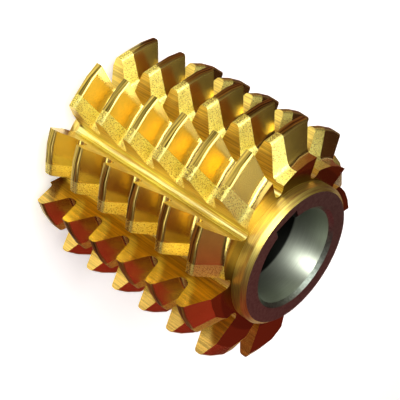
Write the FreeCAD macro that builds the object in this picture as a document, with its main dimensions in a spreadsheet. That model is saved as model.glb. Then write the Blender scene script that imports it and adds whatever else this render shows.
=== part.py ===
"""Bore-type gear hob, module 4: a turned blank with a keyed bore, a right-hand single-start
thread of straight-sided teeth with radial relief, and straight gullets that make the rakes.

Z is the axis. The origin lies on it in the rear hub face, so the hob stands on that face with
its front end up. The keyway points along +X. All lengths are in millimetres.
"""
import math
import os

import FreeCAD
import Part
import Sketcher

doc = FreeCAD.newDocument("GearHob")

# Driving dimensions
SIZES = {
    # Turned blank
    "overall_length": 83,
    "outside_diameter": 80,
    "collar_diameter": 46.8,
    "collar_length": 4.7,
    "hub_chamfer": 1.3,
    # Bore and keyway
    "bore_diameter": 32,
    "bore_chamfer": 1.2,
    "keyway_width": 8,
    "keyway_height": 34.8,
    "keyway_chamfer": 0.5,
    # Rack profile of the thread
    "tooth_module": 4,
    "pressure_angle": 20,
    "addendum": 5,
    "tooth_depth": 9,
    "tip_radius": 1,
    "root_radius": 1.9,
    "rounding_flats": 2,
    "first_tooth_height": 3.7,
    # Gullets
    "gullet_count": 10,
    "gullet_angle": 25,
    "gullet_radius": 1.7,
    "gullet_floor_diameter": 47.8,
    "first_rake_angle": -4.65,
    # Relief behind each rake
    "ground_angle": 16.5,
    "ground_relief_per_degree": 0.147,
    "rear_relief_per_degree": 0.185,
    "rear_drift_per_degree": 0.11,
}

# A row of teeth spans this share of the angle between two gullets, with a short run before its
# rake; both ends are cut off by the gullets
ROW_SPAN = 0.85
ROW_LEAD = 0.04
# The gullets' outline reaches this many outside diameters from the axis
GULLET_REACH = 0.6
# Points nearer than this, in millimetres, lie on one another
TOUCHING = 0.01

sheet = doc.addObject("Spreadsheet::Sheet", "Sizes")
for row, (name, value) in enumerate(SIZES.items(), start=1):
    sheet.set("A%d" % row, name)
    sheet.set("B%d" % row, str(value))
    sheet.setAlias("B%d" % row, name)
doc.recompute()


def size(name):
    """A driving dimension, read from the sheet."""
    return float(sheet.get(name))


def evaluate(expression):
    """The present value of an expression of the sheet's cells."""
    return float(sheet.evalExpression(expression))


def origin_plane(body, role):
    """One of a body's own origin planes."""
    return next(plane for plane in body.Origin.OriginFeatures if plane.Role == role)


def new_sketch(body, name, role):
    """An empty sketch on one of the body's origin planes."""
    sketch = body.newObject("Sketcher::SketchObject", name)
    sketch.AttachmentSupport = [(origin_plane(body, role), "")]
    sketch.MapMode = "FlatFace"
    return sketch


def bind(sketch, constraint, name, expression):
    """Add a dimension under its own name and drive it from the sheet."""
    index = sketch.addConstraint(constraint)
    sketch.renameConstraint(index, name)
    sketch.setExpression("Constraints." + name, expression)


def closed_outline(sketch, corners):
    """Join named corners by straight lines: each is (name, x, y) with x and y as expressions."""
    points = [FreeCAD.Vector(evaluate(x), evaluate(y), 0) for _, x, y in corners]
    for start, end in zip(points, points[1:] + points[:1]):
        sketch.addGeometry(Part.LineSegment(start, end))
    for index, (name, x, y) in enumerate(corners):
        following = (index + 1) % len(corners)
        sketch.addConstraint(Sketcher.Constraint("Coincident", index, 2, following, 1))
        across = Sketcher.Constraint("DistanceX", -1, 1, index, 1, points[index].x)
        along = Sketcher.Constraint("DistanceY", -1, 1, index, 1, points[index].y)
        bind(sketch, across, name + "_x", x)
        bind(sketch, along, name + "_y", y)


# Turned blank: a ring with two collars, chamfered at the hub faces and at the bore's mouths
bore = "Sizes.bore_diameter / 2"
bore_mouth = "Sizes.bore_diameter / 2 + Sizes.bore_chamfer"
hub_edge = "Sizes.collar_diameter / 2 - Sizes.hub_chamfer"
collar = "Sizes.collar_diameter / 2"
outside = "Sizes.outside_diameter / 2"
top = "Sizes.overall_length"
blank_outline = [
    ("rear_bore", bore, "Sizes.bore_chamfer"),
    ("rear_mouth", bore_mouth, "0 mm"),
    ("rear_hub", hub_edge, "0 mm"),
    ("rear_collar", collar, "Sizes.hub_chamfer"),
    ("rear_step", collar, "Sizes.collar_length"),
    ("rear_outside", outside, "Sizes.collar_length"),
    ("front_outside", outside, top + " - Sizes.collar_length"),
    ("front_step", collar, top + " - Sizes.collar_length"),
    ("front_collar", collar, top + " - Sizes.hub_chamfer"),
    ("front_hub", hub_edge, top),
    ("front_mouth", bore_mouth, top),
    ("front_bore", bore, top + " - Sizes.bore_chamfer"),
]
blank = doc.addObject("PartDesign::Body", "Blank")
turned_sketch = new_sketch(blank, "TurnedOutline", "XZ_Plane")
closed_outline(turned_sketch, blank_outline)
turned = blank.newObject("PartDesign::Revolution", "Turned")
turned.Profile = turned_sketch
turned.ReferenceAxis = (turned_sketch, ["V_Axis"])
turned.Angle = 360
doc.recompute()

# Keyway: broached through the bore towards +X, with its mouths in the hub faces chamfered
slot_sketch = new_sketch(blank, "KeywayOutline", "XY_Plane")
slot_floor = "Sizes.keyway_height - Sizes.bore_diameter / 2"
half_width = "Sizes.keyway_width / 2"
closed_outline(slot_sketch, [
    ("left_foot", "0 mm", "-" + half_width),
    ("left_floor", slot_floor, "-" + half_width),
    ("right_floor", slot_floor, half_width),
    ("right_foot", "0 mm", half_width),
])
slot = blank.newObject("PartDesign::Pocket", "Keyway")
slot.Profile = slot_sketch
slot.Type = "ThroughAll"
slot.Midplane = True
blank.Tip = slot
doc.recompute()


def mouth_edges(shape):
    """The keyway's straight edges in the two hub faces."""
    half_slot = size("keyway_width") / 2
    length = size("overall_length")
    found = []
    for index, edge in enumerate(shape.Edges, start=1):
        middle = edge.CenterOfMass
        straight = edge.Curve.TypeId == "Part::GeomLine"
        at_end = min(middle.z, length - middle.z) < TOUCHING
        in_slot = middle.x > size("bore_diameter") / 2 and abs(middle.y) < half_slot + TOUCHING
        if straight and at_end and in_slot:
            found.append("Edge%d" % index)
    return found


slot_chamfer = blank.newObject("PartDesign::Chamfer", "KeywayChamfer")
slot_chamfer.Base = (slot, mouth_edges(slot.Shape))
slot_chamfer.setExpression("Size", "Sizes.keyway_chamfer")
blank.Tip = slot_chamfer
doc.recompute()


# Thread: rows of relieved teeth, one row behind each rake
def pitch():
    """Axial distance between neighbouring teeth of a row."""
    return math.pi * size("tooth_module")


def half_crest():
    """Half of the tooth's width where its flanks would meet the outside diameter."""
    flank = math.tan(math.radians(size("pressure_angle")))
    return pitch() / 4 - size("addendum") * flank


def tooth_outline():
    """Half of a tooth from its crest to its root, as points (axial distance from the tooth's
    middle, depth below the crest). Each rounding turns from flank to land in equal flats.
    """
    flank = math.radians(size("pressure_angle"))
    turn = math.pi / 2 - flank
    flats = int(size("rounding_flats"))
    depth = size("tooth_depth")
    tip = size("tip_radius")
    root = size("root_radius")
    tip_center = half_crest() - tip * math.tan(turn / 2)
    root_center = half_crest() + depth * math.tan(flank) + root * math.tan(turn / 2)
    outline = []
    for step in range(flats + 1):
        angle = turn * step / flats
        outline.append((tip_center + tip * math.sin(angle), tip - tip * math.cos(angle)))
    for step in range(flats + 1):
        angle = turn - turn * step / flats
        outline.append((root_center - root * math.sin(angle), depth - root + root * math.cos(angle)))
    return outline


def relief(angle):
    """Radial drop of the tooth at an angle behind the rake."""
    ground = min(angle, size("ground_angle"))
    rear = max(angle - size("ground_angle"), 0)
    return ground * size("ground_relief_per_degree") + rear * size("rear_relief_per_degree")


def row_section(heights, angle):
    """Closed wire of a row in the radial plane at an angle behind its rake."""
    outline = tooth_outline()
    drift = max(angle - size("ground_angle"), 0) * size("rear_drift_per_degree")
    shift = pitch() * angle / 360 - drift
    crest = size("outside_diameter") / 2 - relief(angle)
    foot = crest - size("tooth_depth")
    core = size("bore_diameter") / 2 + size("bore_chamfer")
    low = -pitch()
    high = size("overall_length") + pitch()
    points = [(core, low), (foot, low)]
    for height in heights:
        points += [(crest - depth, height + shift - along) for along, depth in reversed(outline)]
        points += [(crest - depth, height + shift + along) for along, depth in outline]
    points += [(foot, high), (core, high), (core, low)]
    wire = Part.makePolygon([FreeCAD.Vector(radius, 0, height) for radius, height in points])
    wire.rotate(FreeCAD.Vector(0, 0, 0), FreeCAD.Vector(0, 0, 1), angle)
    return wire


def tooth_heights(row):
    """Heights of the teeth of a row whose crests are whole: part teeth are ground away."""
    step = pitch() / size("gullet_count")
    first = size("collar_length") + size("first_tooth_height") + row * step
    lowest = size("collar_length") + half_crest()
    highest = size("overall_length") - lowest
    below = math.ceil((lowest - first) / pitch())
    above = math.floor((highest - first) / pitch())
    return [first + turn * pitch() for turn in range(below, above + 1)]


def relieved_row(row):
    """A row of teeth: ground relief up to the ground angle, then the steeper rear relief."""
    heights = tooth_heights(row)
    pitch_angle = 360 / size("gullet_count")
    ground_end = size("ground_angle")
    rear_end = pitch_angle * ROW_SPAN
    lead_in = -pitch_angle * ROW_LEAD
    middle = (lead_in + ground_end) / 2
    rear_middle = (ground_end + rear_end) / 2
    angles = [lead_in, middle, ground_end, rear_middle, rear_end]
    return Part.makeLoft([row_section(heights, angle) for angle in angles], True, True)


axis = FreeCAD.Vector(0, 0, 1)
rows = []
for number in range(int(size("gullet_count"))):
    feature = doc.addObject("Part::Feature", "Row%d" % number)
    feature.Shape = relieved_row(number)
    turn_angle = size("first_rake_angle") + number * 360 / size("gullet_count")
    feature.Placement = FreeCAD.Placement(FreeCAD.Vector(0, 0, 0), axis, turn_angle)
    rows.append(feature)

core = doc.addObject("Part::Cylinder", "Core")
core.setExpression("Radius", "Sizes.gullet_floor_diameter / 2 + Sizes.gullet_radius / 2")
core.setExpression("Height", "Sizes.overall_length")
thread = doc.addObject("Part::MultiFuse", "Thread")
thread.Shapes = [core] + rows

toothed_blank = doc.addObject("Part::MultiCommon", "ToothedBlank")
toothed_blank.Shapes = [blank, thread]
doc.recompute()

# Gullets: one straight groove before each rake, with a round floor and a sloping back
gullets = doc.addObject("PartDesign::Body", "Gullets")
gullet_sketch = new_sketch(gullets, "GulletOutline", "XY_Plane")
slope = math.radians(size("gullet_angle"))
round_radius = size("gullet_radius")
reach = size("outside_diameter") * GULLET_REACH
floor_center = FreeCAD.Vector(size("gullet_floor_diameter") / 2 + round_radius, -round_radius, 0)
rake_foot = FreeCAD.Vector(floor_center.x, 0, 0)
back_foot = floor_center + FreeCAD.Vector(-math.sin(slope), -math.cos(slope), 0) * round_radius
floor_point = floor_center - FreeCAD.Vector(round_radius, 0, 0)
back_end = FreeCAD.Vector(reach, back_foot.y - (reach - back_foot.x) * math.tan(slope), 0)
rake_end = FreeCAD.Vector(reach, 0, 0)
rake_line = gullet_sketch.addGeometry(Part.LineSegment(rake_end, rake_foot))
floor_arc = gullet_sketch.addGeometry(Part.Arc(rake_foot, floor_point, back_foot))
back_line = gullet_sketch.addGeometry(Part.LineSegment(back_foot, back_end))
mouth_line = gullet_sketch.addGeometry(Part.LineSegment(back_end, rake_end))
gullet_sketch.addConstraint([
    Sketcher.Constraint("PointOnObject", rake_line, 1, -1),
    Sketcher.Constraint("Horizontal", rake_line),
    Sketcher.Constraint("Tangent", rake_line, 2, floor_arc, 1),
    Sketcher.Constraint("Tangent", floor_arc, 2, back_line, 1),
    Sketcher.Constraint("Coincident", back_line, 2, mouth_line, 1),
    Sketcher.Constraint("Coincident", mouth_line, 2, rake_line, 1),
    Sketcher.Constraint("Vertical", mouth_line),
])
bind(gullet_sketch, Sketcher.Constraint("Radius", floor_arc, round_radius),
     "floor_round", "Sizes.gullet_radius")
bind(gullet_sketch, Sketcher.Constraint("DistanceX", -1, 1, floor_arc, 3, floor_center.x),
     "floor_height", "Sizes.gullet_floor_diameter / 2 + Sizes.gullet_radius")
bind(gullet_sketch, Sketcher.Constraint("DistanceX", -1, 1, rake_line, 1, reach),
     "reach", "Sizes.outside_diameter * %s" % GULLET_REACH)
bind(gullet_sketch, Sketcher.Constraint("Angle", back_line, -slope),
     "back_slope", "-Sizes.gullet_angle")
groove = gullets.newObject("PartDesign::Pad", "Groove")
groove.Profile = gullet_sketch
groove.setExpression("Length", "Sizes.overall_length")
doc.recompute()
around = gullets.newObject("PartDesign::PolarPattern", "AllGrooves")
around.Originals = [groove]
around.Axis = (gullet_sketch, ["N_Axis"])
around.Angle = 360
around.setExpression("Occurrences", "Sizes.gullet_count")
gullets.Tip = around
gullets.Placement = FreeCAD.Placement(FreeCAD.Vector(0, 0, 0), axis, size("first_rake_angle"))
doc.recompute()

hob = doc.addObject("Part::Cut", "Hob")
hob.Label = "hob"
hob.Base = toothed_blank
hob.Tool = gullets
doc.recompute()

# Checks, then one file for each piece
for item in doc.Objects:
    if "Invalid" in item.State or "Error" in item.State:
        raise RuntimeError("%s did not build: %s" % (item.Label, item.State))
if hob.Shape.isNull() or not hob.Shape.isValid():
    raise RuntimeError("the hob's solid is not valid")
if len(hob.Shape.Solids) != 1:
    raise RuntimeError("the hob is %d solids" % len(hob.Shape.Solids))

os.makedirs("parts", exist_ok=True)
hob.Shape.exportStep("parts/%s.step" % hob.Label)
box = hob.Shape.optimalBoundingBox()
print("hob %.1f x %.1f x %.1f mm, volume %.0f mm3, %d faces"
      % (box.XLength, box.YLength, box.ZLength, hob.Shape.Volume, len(hob.Shape.Faces)))
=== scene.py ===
"""Looks of a gold-coated gear hob: its finishes, a pale studio floor, soft lamps and the camera.

Lengths are in metres in the part's own frame: +Z along the bore, the origin on the axis in the
rear hub face.
"""
import math

import bmesh
import bpy
from bpy.props import FloatProperty, FloatVectorProperty, IntProperty, PointerProperty
from bpy.types import Operator, Panel, PropertyGroup
from mathutils import Matrix, Vector


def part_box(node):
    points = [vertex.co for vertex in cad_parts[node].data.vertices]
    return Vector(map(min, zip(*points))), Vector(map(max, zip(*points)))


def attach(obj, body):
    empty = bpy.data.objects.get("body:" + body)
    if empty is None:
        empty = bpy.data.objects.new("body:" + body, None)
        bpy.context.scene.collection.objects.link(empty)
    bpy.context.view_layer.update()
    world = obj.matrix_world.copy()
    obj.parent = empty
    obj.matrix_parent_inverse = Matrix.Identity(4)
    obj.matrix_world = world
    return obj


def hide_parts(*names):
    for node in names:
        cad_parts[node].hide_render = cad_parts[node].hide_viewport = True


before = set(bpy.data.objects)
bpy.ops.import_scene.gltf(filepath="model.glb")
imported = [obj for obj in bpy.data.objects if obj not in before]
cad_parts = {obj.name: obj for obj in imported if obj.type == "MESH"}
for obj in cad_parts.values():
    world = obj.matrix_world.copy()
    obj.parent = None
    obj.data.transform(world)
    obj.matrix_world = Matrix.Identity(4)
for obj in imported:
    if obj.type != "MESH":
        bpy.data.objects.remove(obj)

bl_info = {
    "name": "Gear hob looks",
    "version": (1, 0, 0),
    "blender": (4, 5, 0),
    "location": "3D View > Sidebar > Hob",
    "description": "Finishes a gold-coated gear hob and sets up its studio",
    "category": "Object",
}

BODY = "root"
NODE = "hob"
LOW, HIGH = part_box(NODE)


class HobShape(PropertyGroup):
    """Where one surface of the hob ends and the next begins."""

    bore_edge: FloatProperty(
        name="Bore edge", description="Radius where the bore's mouth chamfer ends",
        default=0.0172, unit="LENGTH")
    bore_reach: FloatProperty(
        name="Bore reach", description="Radius just outside the wall of the bore",
        default=0.0163, unit="LENGTH")
    # Over this length at each end the bore keeps its steel colour; the painted shade lies between
    bore_unshaded_end: FloatProperty(
        name="Bore land", description="Length of the ground land at each end of the bore",
        default=0.014, unit="LENGTH")
    keyway_reach: FloatProperty(
        name="Keyway reach", description="Radius that the bore and its keyway stay inside",
        default=0.0195, unit="LENGTH")
    tooth_middle: FloatProperty(
        name="Tooth middle", description="Radius beyond which the crests and tips of the teeth lie",
        default=0.0344, unit="LENGTH")
    collar_length: FloatProperty(
        name="Collar length", description="Length of each hub collar",
        default=0.0047, unit="LENGTH")
    neck_radius: FloatProperty(
        name="Neck radius", description="Radius inside which the thread's end is turned",
        default=0.0275, unit="LENGTH")
    gullet_floor: FloatProperty(
        name="Gullet floor", description="Radius up to which a gullet's floor is round",
        default=0.0249, unit="LENGTH")
    gullet_count: IntProperty(
        name="Gullets", description="Number of gullets round the hob", default=10)
    first_rake: FloatProperty(
        name="First rake", description="Angle of the first rake from the keyway",
        default=math.radians(-4.65), subtype="ANGLE")
    ground_angle: FloatProperty(
        name="Ground angle", description="Angle behind each rake where the ground relief ends",
        default=math.radians(16.5), subtype="ANGLE")


class HobColours(PropertyGroup):
    """Colours of the coating and of the bare steel."""

    flank: FloatVectorProperty(
        name="Flanks", description="Polished coating on the ground flanks",
        default=(0.73, 0.55, 0.14), subtype="COLOR", min=0, max=1)
    crest: FloatVectorProperty(
        name="Crests", description="Coating on the tops of the teeth",
        default=(0.33, 0.24, 0.045), subtype="COLOR", min=0, max=1)
    tip: FloatVectorProperty(
        name="Tips", description="Polished coating on the rounded tips of the teeth",
        default=(0.62, 0.46, 0.13), subtype="COLOR", min=0, max=1)
    rear_crest: FloatVectorProperty(
        name="Rear crests", description="Matt coating on the rear part of the tops of the teeth",
        default=(0.78, 0.60, 0.12), subtype="COLOR", min=0, max=1)
    end_face: FloatVectorProperty(
        name="End faces", description="Coating on the flat ends of the thread",
        default=(0.40, 0.26, 0.05), subtype="COLOR", min=0, max=1)
    neck: FloatVectorProperty(
        name="Necks", description="Coating on the turned rings between collars and thread",
        default=(0.26, 0.17, 0.035), subtype="COLOR", min=0, max=1)
    rear: FloatVectorProperty(
        name="Rear relief", description="Matt coating behind the ground relief",
        default=(1.0, 0.84, 0.21), subtype="COLOR", min=0, max=1)
    rake: FloatVectorProperty(
        name="Rakes", description="Coating on the ground rakes",
        default=(0.72, 0.50, 0.11), subtype="COLOR", min=0, max=1)
    gullet: FloatVectorProperty(
        name="Gullet floors", description="Bright coating on the round floors of the gullets",
        default=(0.95, 0.76, 0.27), subtype="COLOR", min=0, max=1)
    back: FloatVectorProperty(
        name="Gullet backs", description="Brushed coating on the backs of the teeth",
        default=(0.82, 0.62, 0.14), subtype="COLOR", min=0, max=1)
    collar: FloatVectorProperty(
        name="Collars", description="Coating on the turned collars",
        default=(0.96, 0.68, 0.17), subtype="COLOR", min=0, max=1)
    # The keyway's near-black colour is painted shade in the slot
    keyway: FloatVectorProperty(
        name="Keyway", description="Dark unground steel of the keyway",
        default=(0.02, 0.022, 0.018), subtype="COLOR", min=0, max=1)
    hub_face: FloatVectorProperty(
        name="Hub faces", description="Bare ground steel of the hub faces",
        default=(0.25, 0.29, 0.25), subtype="COLOR", min=0, max=1)
    bore: FloatVectorProperty(
        name="Bore", description="Bare ground steel of the bore",
        default=(0.46, 0.50, 0.40), subtype="COLOR", min=0, max=1)


class HobStage(PropertyGroup):
    """Floor, lamps and camera."""

    floor_colour: FloatVectorProperty(
        name="Floor", description="Colour of the floor",
        default=(0.9, 0.9, 0.9), subtype="COLOR", min=0, max=1)
    floor_glow: FloatProperty(
        name="Floor glow", description="Share of the floor's white that needs no lamp",
        default=0.45)
    # The sheet of this colour is a painted reflection: only reflections see it
    reflected_shade_colour: FloatVectorProperty(
        name="Mat", description="Colour of the dark mat round the hob",
        default=(0.22, 0.07, 0.04), subtype="COLOR", min=0, max=1)
    room: FloatVectorProperty(
        name="Room", description="Colour of the dim surroundings",
        default=(0.045, 0.013, 0.010), subtype="COLOR", min=0, max=1)
    room_light: FloatVectorProperty(
        name="Room light", description="Colour of the soft light overhead",
        default=(0.85, 0.72, 0.5), subtype="COLOR", min=0, max=1)
    curtain: FloatVectorProperty(
        name="Curtain", description="Colour of the curtain at the far side",
        default=(0.28, 0.018, 0.03), subtype="COLOR", min=0, max=1)
    overhead: FloatProperty(
        name="Overhead lamp", description="Power of the overhead lamp in watts", default=0.6)
    side: FloatProperty(
        name="Side lamp", description="Power of the side lamp in watts", default=34)
    rim: FloatProperty(
        name="Rim lamp", description="Power of the lamp that lights the tips in watts", default=2)
    bore_power: FloatProperty(
        name="Bore lamp", description="Power of the small lamp in the bore in watts",
        default=0.0026)
    lens: FloatProperty(
        name="Lens", description="Focal length in millimetres", default=83.47)
    camera_place: FloatVectorProperty(
        name="Camera", description="Where the camera stands",
        default=(0.23136, 0.09094, 0.20464), subtype="TRANSLATION")


def new_material(name):
    """A material with its principled shader, for more nodes to be added."""
    material = bpy.data.materials.new(name)
    material.use_nodes = True
    shader = material.node_tree.nodes["Principled BSDF"]
    shader.inputs["Metallic"].default_value = 1.0
    return material, material.node_tree, shader


def noise(tree, scale, stretch=(1, 1, 1), detail=3.0, grain=0.5):
    """Noise on object coordinates, drawn out along the axes where stretch is small."""
    coordinates = tree.nodes.new("ShaderNodeTexCoord")
    mapping = tree.nodes.new("ShaderNodeMapping")
    mapping.inputs["Scale"].default_value = stretch
    texture = tree.nodes.new("ShaderNodeTexNoise")
    texture.inputs["Scale"].default_value = scale
    texture.inputs["Detail"].default_value = detail
    texture.inputs["Roughness"].default_value = grain
    tree.links.new(coordinates.outputs["Object"], mapping.inputs["Vector"])
    tree.links.new(mapping.outputs["Vector"], texture.inputs["Vector"])
    return texture.outputs["Fac"]


def ramp(tree, factor, stops):
    """A colour ramp of (position, colour) stops."""
    node = tree.nodes.new("ShaderNodeValToRGB")
    elements = node.color_ramp.elements
    while len(elements) < len(stops):
        elements.new(0.5)
    for element, (position, colour) in zip(elements, stops):
        element.position = position
        element.color = (*colour, 1)
    tree.links.new(factor, node.inputs["Fac"])
    return node.outputs["Color"]


def shade(colour, factor):
    """A colour made lighter or darker."""
    return tuple(min(channel * factor, 1.0) for channel in colour)


def bump(tree, shader, height, strength, distance):
    """Feed a height into the shader's normal."""
    node = tree.nodes.new("ShaderNodeBump")
    node.inputs["Strength"].default_value = strength
    node.inputs["Distance"].default_value = distance
    tree.links.new(height, node.inputs["Height"])
    tree.links.new(node.outputs["Normal"], shader.inputs["Normal"])


def contrast_ramp(tree, factor, colour, contrast, low, high):
    """From a darker to a lighter shade of a colour between a low and a high factor."""
    darker = shade(colour, 1 - contrast)
    lighter = shade(colour, 1 + contrast)
    return ramp(tree, factor, [(low, darker), (high, lighter)])


# Scales of the noise along X, Y and Z: the marks run along the axes whose scale is small
ALONG_AXIS = (2600, 2600, 60)
ALONG_TOOTH = (40, 40, 1900)
ROUND_AXIS = (120, 120, 6000)
ALL_WAYS = (1200, 1200, 1200)
GRINDING_MARKS = (900, 900, 9000)
# Scales of the slow drifts of colour and of the specks
DRIFT_SCALE = 90
SPECK_SCALE = 2900
# Depths of the marks, which only the normals show
FINE_DEPTH = 0.00002
LINE_DEPTH = 0.00003
SPECK_DEPTH = 0.00015


def polished_coating(name, colour, roughness):
    """Coating on a ground surface: slow drifts of colour and very fine grinding marks."""
    material, tree, shader = new_material(name)
    shader.inputs["Roughness"].default_value = roughness
    drift = noise(tree, DRIFT_SCALE)
    tone = contrast_ramp(tree, drift, colour, contrast=0.12, low=0.35, high=0.65)
    tree.links.new(tone, shader.inputs["Base Color"])
    bump(tree, shader, noise(tree, 1, GRINDING_MARKS, 2), 0.15, FINE_DEPTH)
    return material


def speckled_coating(name, colour, dark):
    """Coating on the rough rear relief: dark specks where the noise is below dark, bright grains."""
    material, tree, shader = new_material(name)
    shader.inputs["Roughness"].default_value = 0.42
    specks = noise(tree, SPECK_SCALE, grain=0.75)
    dark_speck = shade(colour, 0.25)
    bright_grain = shade(colour, 1.6)
    tone = ramp(tree, specks, [(dark, dark_speck), (dark + 0.1, colour), (0.62, bright_grain)])
    tree.links.new(tone, shader.inputs["Base Color"])
    bump(tree, shader, specks, 0.6, SPECK_DEPTH)
    return material


def brushed_coating(name, colour, stretch, roughness, contrast=0.25):
    """Coating over grinding lines that run the way that stretch gives."""
    material, tree, shader = new_material(name)
    shader.inputs["Roughness"].default_value = roughness
    lines = noise(tree, 1, stretch)
    tone = contrast_ramp(tree, lines, colour, contrast, low=0.38, high=0.62)
    tree.links.new(tone, shader.inputs["Base Color"])
    bump(tree, shader, lines, 0.3, LINE_DEPTH)
    return material


def scratched_tone(tree, shader, colour, stretch, contrast):
    """Feed faint scratches into the shader's normal and give the steel's colour under them."""
    scratches = noise(tree, 1, stretch, 4)
    bump(tree, shader, scratches, 0.2, FINE_DEPTH)
    return contrast_ramp(tree, scratches, colour, contrast, low=0.3, high=0.7)


def bare_steel(name, colour, stretch, roughness):
    """Uncoated steel with faint scratches."""
    material, tree, shader = new_material(name)
    shader.inputs["Roughness"].default_value = roughness
    tone = scratched_tone(tree, shader, colour, stretch, contrast=0.25)
    tree.links.new(tone, shader.inputs["Base Color"])
    return material


# Distances are multiplied by this, so that they lie within a ramp's 0 to 1
RAMP_SCALE = 20
# Half of the width over which one colour turns into another
FADE_REACH = 0.0003
# Share of the ground steel's colour left in the painted shade on the middle of the bore
PAINTED_BORE_SHADE = (0.045, 0.045, 0.045)


def fade(tree, center, axes, edge, inner, outer):
    """One colour nearer to the centre than the edge and another beyond, along the given axes."""
    coordinates = tree.nodes.new("ShaderNodeTexCoord")
    offset = tree.nodes.new("ShaderNodeVectorMath")
    offset.operation = "SUBTRACT"
    offset.inputs[1].default_value = center
    along = tree.nodes.new("ShaderNodeVectorMath")
    along.operation = "MULTIPLY"
    along.inputs[1].default_value = [axis * RAMP_SCALE for axis in axes]
    distance = tree.nodes.new("ShaderNodeVectorMath")
    distance.operation = "LENGTH"
    tree.links.new(coordinates.outputs["Object"], offset.inputs[0])
    tree.links.new(offset.outputs["Vector"], along.inputs[0])
    tree.links.new(along.outputs["Vector"], distance.inputs[0])
    return ramp(tree, distance.outputs["Value"], [
        ((edge - FADE_REACH) * RAMP_SCALE, inner), ((edge + FADE_REACH) * RAMP_SCALE, outer)])


def end_coating(name, inner, outer, edge):
    """Coating on the flat ends of the thread: turned inside a radius, ground outside it."""
    material, tree, shader = new_material(name)
    shader.inputs["Roughness"].default_value = 0.22
    tone = fade(tree, Vector(), (1, 1, 0), edge, inner, outer)
    tree.links.new(tone, shader.inputs["Base Color"])
    return material


def bore_steel(name, colour, unshaded_end):
    """Ground steel at each end of the bore, and painted shade between them: the middle is darkened
    to near black.
    """
    material, tree, shader = new_material(name)
    shader.inputs["Roughness"].default_value = 0.37
    tone = scratched_tone(tree, shader, colour, ROUND_AXIS, contrast=0.08)
    half_length = (HIGH.z - LOW.z) / 2
    # Painted shade: the colour falls to near black in the middle of the bore
    light = fade(tree, (LOW + HIGH) / 2, (0, 0, 1), half_length - unshaded_end, PAINTED_BORE_SHADE, (1, 1, 1))
    darkened = tree.nodes.new("ShaderNodeVectorMath")
    darkened.operation = "MULTIPLY"
    tree.links.new(tone, darkened.inputs[0])
    tree.links.new(light, darkened.inputs[1])
    tree.links.new(darkened.outputs["Vector"], shader.inputs["Base Color"])
    return material


def finishes(colours, shape):
    """The hob's materials by the name of the surface that they cover."""
    return {
        "flank": polished_coating("ground_flank", colours.flank, roughness=0.24),
        "crest": brushed_coating(
            "tooth_crest", colours.crest, ALONG_TOOTH, roughness=0.3, contrast=0.8),
        "tip": polished_coating("tooth_tip", colours.tip, roughness=0.3),
        "rear_crest": speckled_coating("rear_crest", colours.rear_crest, dark=0.44),
        "rear": speckled_coating("rear_relief", colours.rear, dark=0.37),
        "end_face": end_coating("thread_end", colours.neck, colours.end_face, shape.neck_radius),
        "rake": brushed_coating("rake_face", colours.rake, ALONG_AXIS, roughness=0.25),
        "gullet": brushed_coating(
            "gullet_floor", colours.gullet, ALONG_AXIS, roughness=0.3, contrast=0.35),
        "back": brushed_coating("gullet_back", colours.back, ALONG_AXIS, roughness=0.42),
        "collar": brushed_coating("turned_collar", colours.collar, ROUND_AXIS, roughness=0.35),
        "hub_face": bare_steel("hub_face_steel", colours.hub_face, ALL_WAYS, roughness=0.35),
        "bore": bore_steel("bore_steel", colours.bore, shape.bore_unshaded_end),
        # The keyway's near-black colour is painted shade
        "keyway": bare_steel("keyway_steel", colours.keyway, ALONG_AXIS, roughness=0.45),
    }


# Faces this near to a plane across the axis lie in it
TOUCHING = 1e-5
# Least share of a face's normal that points along the axis, backwards or forwards round the hob,
# or outwards
MOUTH_ALONG = 0.3
RAKE_BACKWARD = 0.95
BACK_FORWARD = 0.6
CREST_OUTWARD = 0.92
TIP_OUTWARD = 0.45


def surface_of(face, shape):
    """Which of the hob's surfaces a face belongs to."""
    center = face.calc_center_median()
    radius = math.hypot(center.x, center.y)
    outward = Vector((center.x, center.y, 0)).normalized()
    forward = Vector((-outward.y, outward.x, 0))
    pitch = 2 * math.pi / shape.gullet_count
    behind = (math.atan2(center.y, center.x) - shape.first_rake) % pitch
    to_end = min(center.z - LOW.z, HIGH.z - center.z)
    in_mouth = radius < shape.bore_edge and abs(face.normal.z) > MOUTH_ALONG
    if to_end < TOUCHING or in_mouth:
        return "hub_face"
    if radius < shape.bore_reach:
        return "bore"
    if radius < shape.keyway_reach:
        return "keyway"
    if to_end < shape.collar_length - TOUCHING:
        return "collar"
    if to_end < shape.collar_length + TOUCHING:
        return "end_face"
    if face.normal.dot(forward) < -RAKE_BACKWARD:
        return "rake"
    if radius < shape.gullet_floor:
        return "gullet"
    if face.normal.dot(forward) > BACK_FORWARD:
        return "back"
    crest = radius > shape.tooth_middle and face.normal.dot(outward) > CREST_OUTWARD
    if behind > shape.ground_angle:
        return "rear_crest" if crest else "rear"
    if crest:
        return "crest"
    if radius > shape.tooth_middle and face.normal.dot(outward) > TIP_OUTWARD:
        return "tip"
    return "flank"


ROUND_SURFACES = {"flank", "crest", "tip", "rear", "rear_crest", "collar", "bore"}
# Neighbouring faces within the first angle are one panel; those within the second shade smoothly
PANEL_ANGLE = math.radians(0.6)
SOFT_ANGLE = math.radians(40)
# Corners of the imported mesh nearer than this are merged
MERGE_DISTANCE = 2e-6


def find_panels(shaped, kinds):
    """For each face, the azimuth of the middle and the area of the nearly flat panel it lies in."""
    panels = {}
    for start in shaped.faces:
        if start.index in panels:
            continue
        panel, waiting = {start}, [start]
        while waiting:
            face = waiting.pop()
            for edge in face.edges:
                for other in edge.link_faces:
                    flat = other.normal.angle(face.normal, 0) < PANEL_ANGLE
                    if flat and other not in panel and kinds[other.index] == kinds[start.index]:
                        panel.add(other)
                        waiting.append(other)
        middle = sum((face.calc_center_median() * face.calc_area() for face in panel), Vector())
        found = math.atan2(middle.y, middle.x), sum(face.calc_area() for face in panel)
        for face in panel:
            panels[face.index] = found
    return panels


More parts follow.
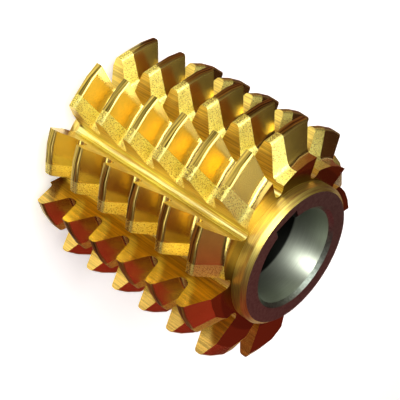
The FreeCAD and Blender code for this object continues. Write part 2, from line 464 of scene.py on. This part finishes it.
def corner_normals(shaped, kinds):
    """A normal for each face corner: relieved and turned surfaces shade round, not as panels.

    Where surfaces run into each other, the larger panel keeps its normal and the smaller follows.
    """
    panels = find_panels(shaped, kinds)

    def normal_at(face, vert):
        if kinds[face.index] not in ROUND_SURFACES:
            return face.normal
        turn = math.atan2(vert.co.y, vert.co.x) - panels[face.index][0]
        return Matrix.Rotation(turn, 3, "Z") @ face.normal

    normals = []
    for face in shaped.faces:
        for vert in face.verts:
            own = normal_at(face, vert)
            total = Vector()
            for other in vert.link_faces:
                pair = {kinds[face.index], kinds[other.index]}
                carried = normal_at(other, vert)
                if (len(pair) == 1 or "tip" in pair) and carried.angle(own, 0) < SOFT_ANGLE:
                    total += carried * panels[other.index][1] ** 2
            normals.append(total.normalized())
    return normals


class HOB_OT_body(Operator):
    """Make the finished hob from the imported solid, with a finish for each ground surface"""

    bl_idname = "hob.body"
    bl_label = "Hob"

    def execute(self, context):
        scene = context.scene
        materials = finishes(scene.hob_colours, scene.hob_shape)
        names = list(materials)
        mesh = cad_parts[NODE].data.copy()
        mesh.name = "gear_hob"
        mesh.materials.clear()
        for name in names:
            mesh.materials.append(materials[name])
        shaped = bmesh.new()
        shaped.from_mesh(mesh)
        bmesh.ops.remove_doubles(shaped, verts=shaped.verts, dist=MERGE_DISTANCE)
        shaped.normal_update()
        shaped.faces.index_update()
        kinds = [surface_of(face, scene.hob_shape) for face in shaped.faces]
        for face, kind in zip(shaped.faces, kinds):
            face.material_index = names.index(kind)
            face.smooth = True
        normals = corner_normals(shaped, kinds)
        shaped.to_mesh(mesh)
        shaped.free()
        mesh.normals_split_custom_set(normals)
        piece = bpy.data.objects.new("gear_hob", mesh)
        scene.collection.objects.link(piece)
        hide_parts(NODE)
        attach(piece, BODY)
        return {"FINISHED"}


# Where each lamp stands and its width. They shine at the middle of the hob
LAMPS = {
    "overhead": ((0.06, -0.15, 0.63), 0.13),
    "side": ((1.26, 0.05, 1.08), 1.20),
    "rim": ((0.42, 1.02, 0.46), 0.40),
}
# The small lamp in the bore, and the place on the bore's wall that it shines at
BORE_LAMP_PLACE = (0.010, 0.0045, 0.069)
BORE_LAMP_WIDTH = 0.006
BORE_LAMP_TARGET = (-0.0147, -0.0063, 0.080)


def aim(place, target):
    """The turn of a lamp at a place that shines at a target."""
    return (Vector(target) - Vector(place)).to_track_quat("-Z", "Y").to_euler()


def add_lamp(scene, name, place, width, power, target):
    """A square soft lamp that shines at a target. The camera doesn't see it."""
    lamp = bpy.data.lights.new(name, "AREA")
    lamp.size = width
    lamp.energy = power
    holder = bpy.data.objects.new(name, lamp)
    holder.location = place
    holder.rotation_euler = aim(place, target)
    holder.visible_camera = False
    scene.collection.objects.link(holder)


def floor_material(colour, share):
    """A pale floor that keeps shadows and shows near white to the camera and to reflections.

    It glows by a share of white for those rays only.
    """
    material, tree, shader = new_material("studio_floor")
    shader.inputs["Metallic"].default_value = 0.0
    shader.inputs["Base Color"].default_value = (*colour, 1)
    shader.inputs["Roughness"].default_value = 0.9
    shader.inputs["Emission Color"].default_value = (1, 1, 1, 1)
    rays = tree.nodes.new("ShaderNodeLightPath")
    seen = tree.nodes.new("ShaderNodeMath")
    seen.operation = "MAXIMUM"
    tree.links.new(rays.outputs["Is Camera Ray"], seen.inputs[0])
    tree.links.new(rays.outputs["Is Glossy Ray"], seen.inputs[1])
    through = tree.nodes.new("ShaderNodeMath")
    through.operation = "MAXIMUM"
    tree.links.new(seen.outputs[0], through.inputs[0])
    tree.links.new(rays.outputs["Is Transmission Ray"], through.inputs[1])
    strength = tree.nodes.new("ShaderNodeMath")
    strength.operation = "MULTIPLY"
    strength.inputs[1].default_value = share
    tree.links.new(through.outputs[0], strength.inputs[0])
    tree.links.new(strength.outputs[0], shader.inputs["Emission Strength"])
    return material


FLOOR_RADIUS = 3.0
FLOOR_SIDES = 96


def lay_floor(scene, stage):
    """A round pale floor under the hob."""
    flat = bmesh.new()
    bmesh.ops.create_circle(flat, cap_ends=True, segments=FLOOR_SIDES, radius=FLOOR_RADIUS)
    mesh = bpy.data.meshes.new("floor")
    flat.to_mesh(mesh)
    flat.free()
    mesh.materials.append(floor_material(stage.floor_colour, stage.floor_glow))
    floor = bpy.data.objects.new("floor", mesh)
    scene.collection.objects.link(floor)


# The sheet for the painted reflection lies just above the floor, with a notch that opens towards +X
# from below the hob
SHADE_SHEET_HEIGHT = 0.0003
SHADE_SHEET_CORNERS = [(-0.6, -0.6), (0.5, -0.6), (0.5, -0.26), (0.022, -0.02), (0.022, 0.022),
               (-0.03, 0.042), (0.5, 0.14), (0.5, 0.6), (-0.6, 0.6)]


def lay_reflected_shade(scene, colour):
    """A dark sheet on the floor round the hob, open towards +X. Only reflections see it: it is a
    painted reflection of a dark floor.
    """
    material, tree, shader = new_material("dark_mat")
    shader.inputs["Metallic"].default_value = 0.0
    shader.inputs["Base Color"].default_value = (*colour, 1)
    shader.inputs["Roughness"].default_value = 1.0
    flat = bmesh.new()
    flat.faces.new([flat.verts.new((x, y, SHADE_SHEET_HEIGHT)) for x, y in SHADE_SHEET_CORNERS])
    mesh = bpy.data.meshes.new("dark_mat")
    flat.to_mesh(mesh)
    flat.free()
    mesh.materials.append(material)
    shade_sheet = bpy.data.objects.new("dark_mat", mesh)
    # A painted reflection: the camera, shadows and diffuse light pass through the sheet
    shade_sheet.visible_camera = False
    shade_sheet.visible_shadow = False
    shade_sheet.visible_diffuse = False
    scene.collection.objects.link(shade_sheet)


def glow(tree, direction, stops):
    """Light from around one direction of the sky, as (cosine of the angle to it, colour) stops."""
    coordinates = tree.nodes.new("ShaderNodeTexCoord")
    towards = tree.nodes.new("ShaderNodeVectorMath")
    towards.operation = "DOT_PRODUCT"
    towards.inputs[1].default_value = Vector(direction).normalized()
    tree.links.new(coordinates.outputs["Generated"], towards.inputs[0])
    return ramp(tree, towards.outputs["Value"], stops)


# Directions of the soft light overhead and of the curtain, seen from the hob
OVERHEAD_LIGHT = (0.10, -0.25, 0.96)
CURTAIN = (-0.78, 0.14, 0.62)


def surroundings(stage):
    """A dim room with a soft light overhead and a dark red curtain at the far side."""
    world = bpy.data.worlds.new("studio")
    world.use_nodes = True
    tree = world.node_tree
    bright = stage.room_light
    overhead = glow(tree, OVERHEAD_LIGHT, [
        (0.60, stage.room), (0.80, shade(bright, 0.14)), (0.88, shade(bright, 0.26)),
        (0.94, shade(bright, 0.4)), (0.98, shade(bright, 0.9))])
    curtain = glow(tree, CURTAIN, [(0.75, (0, 0, 0)), (0.97, stage.curtain)])
    both = tree.nodes.new("ShaderNodeVectorMath")
    both.operation = "ADD"
    tree.links.new(overhead, both.inputs[0])
    tree.links.new(curtain, both.inputs[1])
    tree.links.new(both.outputs["Vector"], tree.nodes["Background"].inputs["Color"])
    return world


# The camera's sensor in millimetres, and the directions of the picture's right and top
SENSOR_WIDTH = 36
CAMERA_RIGHT = Vector((-0.23221, -0.66926, 0.70582))
CAMERA_UP = Vector((0.57886, -0.67824, -0.45266))


def place_camera(scene, stage):
    """The camera that sees the hob as the photograph does."""
    camera = bpy.data.cameras.new("camera")
    camera.lens = stage.lens
    camera.sensor_width = SENSOR_WIDTH
    holder = bpy.data.objects.new("camera", camera)
    back = CAMERA_RIGHT.cross(CAMERA_UP)
    turn = Matrix((CAMERA_RIGHT, CAMERA_UP, back)).transposed()
    holder.matrix_world = Matrix.Translation(stage.camera_place) @ turn.to_4x4()
    scene.collection.objects.link(holder)
    scene.camera = holder


class HOB_OT_stage(Operator):
    """Lay the floor and set up the lamps, the surroundings and the camera"""

    bl_idname = "hob.stage"
    bl_label = "Stage"

    def execute(self, context):
        scene = context.scene
        stage = scene.hob_stage
        lay_floor(scene, stage)
        lay_reflected_shade(scene, stage.reflected_shade_colour)
        scene.world = surroundings(stage)
        middle = (LOW + HIGH) / 2
        for name, (place, width) in LAMPS.items():
            add_lamp(scene, name + "_lamp", place, width, getattr(stage, name), middle)
        add_lamp(scene, "bore_lamp", BORE_LAMP_PLACE, BORE_LAMP_WIDTH, stage.bore_power,
                 BORE_LAMP_TARGET)
        place_camera(scene, stage)
        scene.view_settings.view_transform = "Standard"
        return {"FINISHED"}


class HOB_PT_panel(Panel):
    """Lists the hob's operators"""

    bl_idname = "HOB_PT_panel"
    bl_label = "Gear hob"
    bl_space_type = "VIEW_3D"
    bl_region_type = "UI"
    bl_category = "Hob"

    def draw(self, context):
        for operator in (HOB_OT_body, HOB_OT_stage):
            self.layout.operator(operator.bl_idname)


SETTINGS = {"hob_shape": HobShape, "hob_colours": HobColours, "hob_stage": HobStage}
CLASSES = (HobShape, HobColours, HobStage, HOB_OT_body, HOB_OT_stage, HOB_PT_panel)


def register():
    """Add the classes and the scene's settings."""
    for item in CLASSES:
        bpy.utils.register_class(item)
    for name, group in SETTINGS.items():
        setattr(bpy.types.Scene, name, PointerProperty(type=group))


def unregister():
    """Take the settings and the classes away again."""
    for name in SETTINGS:
        delattr(bpy.types.Scene, name)
    for item in reversed(CLASSES):
        bpy.utils.unregister_class(item)


def main():
    """Make the scene."""
    register()
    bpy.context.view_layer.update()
    bpy.ops.hob.body()
    bpy.ops.hob.stage()


if __name__ == "__main__":
    main()
